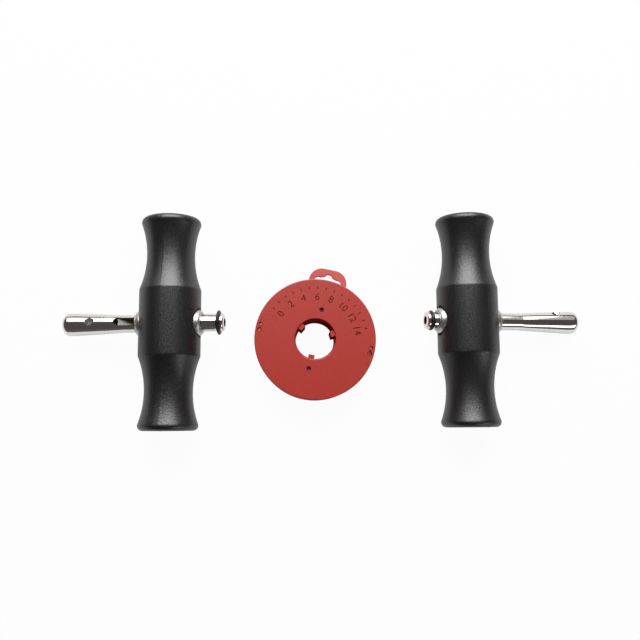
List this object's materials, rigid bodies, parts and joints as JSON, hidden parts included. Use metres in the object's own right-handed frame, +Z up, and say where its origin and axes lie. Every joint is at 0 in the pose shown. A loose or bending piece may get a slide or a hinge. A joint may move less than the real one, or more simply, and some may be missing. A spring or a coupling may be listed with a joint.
{
  "type": "wire clay cutter set",
  "caption": "T handles with sliding, turning steel wire shafts that pinch a cutting wire, beside a flat snap-together spool of steel wire with a hang tab.",
  "frame": {"origin": "middle of the whole layout, on the table that both grips and the spool lie on", "axes": "+X from the left handle to the right one, +Y along the grips to the top of the picture, +Z up from the table"},
  "size_m": [0.3238, 0.1312, 0.0378],
  "materials": {
    "grip_plastic": "fine leather grain, satin black",
    "inner_steel": "drawn tube",
    "polished_steel": "polished stainless steel",
    "black_rubber": "satin",
    "bronze": "turned",
    "spring_steel": "dark spring steel",
    "red_plastic": "satin moulded plastic",
    "red_tab_plastic": "satin moulded plastic, a shade lighter",
    "steel_wire": "drawn stainless wire"
  },
  "bodies": {
    "spool": {"spool_front_plate": "red_plastic", "spool_hub": "red_plastic", "spool_back_plate": "red_tab_plastic", "wire_core": "steel_wire", "wire_outer_layer": "steel_wire"},
    "left_handle": {"left_grip": "grip_plastic", "left_sleeve": "inner_steel", "left_front_collar": "polished_steel", "left_rear_collar": "polished_steel", "left_seat_rings": "black_rubber"},
    "left_guide": {"left_guide_ring": "bronze"},
    "left_spindle": {"left_shaft": "polished_steel", "left_retaining_clips": "spring_steel", "left_o_ring": "black_rubber", "left_end_screw": "polished_steel"},
    "right_handle": {"right_grip": "grip_plastic", "right_sleeve": "inner_steel", "right_front_collar": "polished_steel", "right_rear_collar": "polished_steel", "right_seat_rings": "black_rubber"},
    "right_guide": {"right_guide_ring": "bronze"},
    "right_spindle": {"right_shaft": "polished_steel", "right_retaining_clips": "spring_steel", "right_o_ring": "black_rubber", "right_end_screw": "polished_steel"}
  },
  "joints": [
    {"name": "left_lift_off", "type": "slide", "parent": "spool", "child": "left_handle", "axis": [0, 0, 1], "range_m": [0, 0.1]},
    {"name": "left_shaft_slide", "type": "slide", "parent": "left_handle", "child": "left_guide", "axis": [-0.9931, 0.0069, -0.1167], "range_m": [0, 0.0065]},
    {"name": "left_shaft_turn", "type": "hinge", "parent": "left_guide", "child": "left_spindle", "pos_m": [-0.09523, 0, 0.0189], "axis": [-0.9931, 0.0069, -0.1167], "continuous": true},
    {"name": "right_lift_off", "type": "slide", "parent": "spool", "child": "right_handle", "axis": [0, 0, 1], "range_m": [0, 0.1]},
    {"name": "right_shaft_slide", "type": "slide", "parent": "right_handle", "child": "right_guide", "axis": [0.985, -0.0017, -0.1724], "range_m": [-0.0065, 0]},
    {"name": "right_shaft_turn", "type": "hinge", "parent": "right_guide", "child": "right_spindle", "pos_m": [0.08917, 0, 0.0189], "axis": [0.985, -0.0017, -0.1724], "continuous": true}
  ]
}
